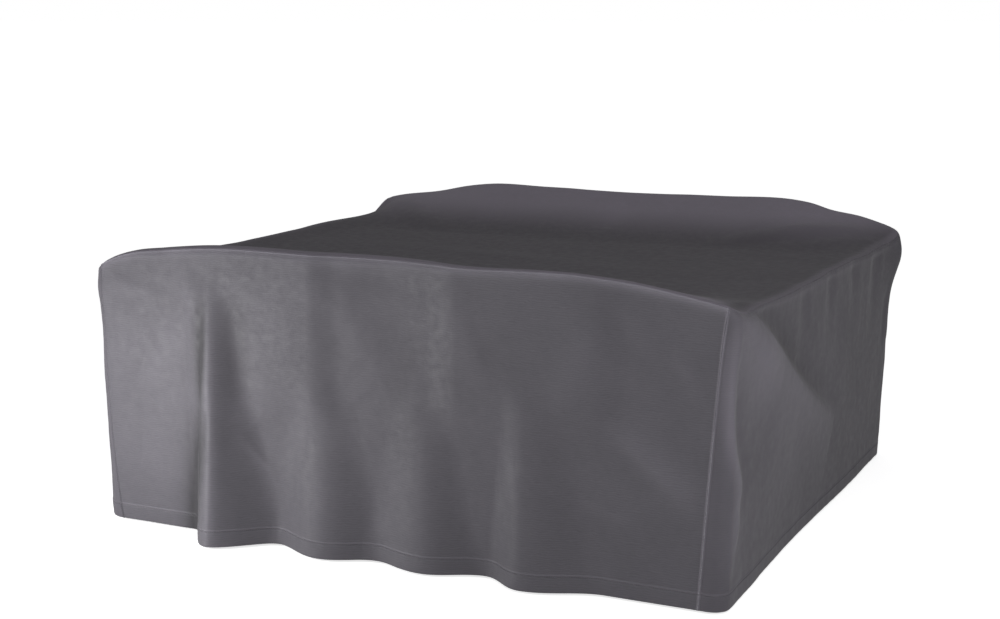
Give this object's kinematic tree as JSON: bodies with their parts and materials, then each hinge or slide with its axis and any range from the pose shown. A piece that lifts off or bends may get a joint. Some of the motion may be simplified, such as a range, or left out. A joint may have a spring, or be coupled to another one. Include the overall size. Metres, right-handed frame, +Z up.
{
  "type": "fitted patio furniture cover",
  "caption": "Fitted cloth cover for a square patio dining set: sewn top and walls, open below, draped over raised front and back edges, fluted at the hem.",
  "frame": {"origin": "middle of the cover's plan at the height of the lowest point of the hem", "axes": "+X along the front wall to the right, +Y from the front wall to the back wall, +Z up"},
  "size_m": [2.0207, 1.9407, 0.8611],
  "materials": {
    "top_cloth": "anthracite woven polyester with a water-repellent coating, matte",
    "wall_cloth": "anthracite woven polyester with a water-repellent coating, matte"
  },
  "bodies": {
    "root": {"top_panel": "top_cloth", "front_panel": "wall_cloth", "right_panel": "wall_cloth", "back_panel": "wall_cloth", "left_panel": "wall_cloth"}
  },
  "joints": []
}
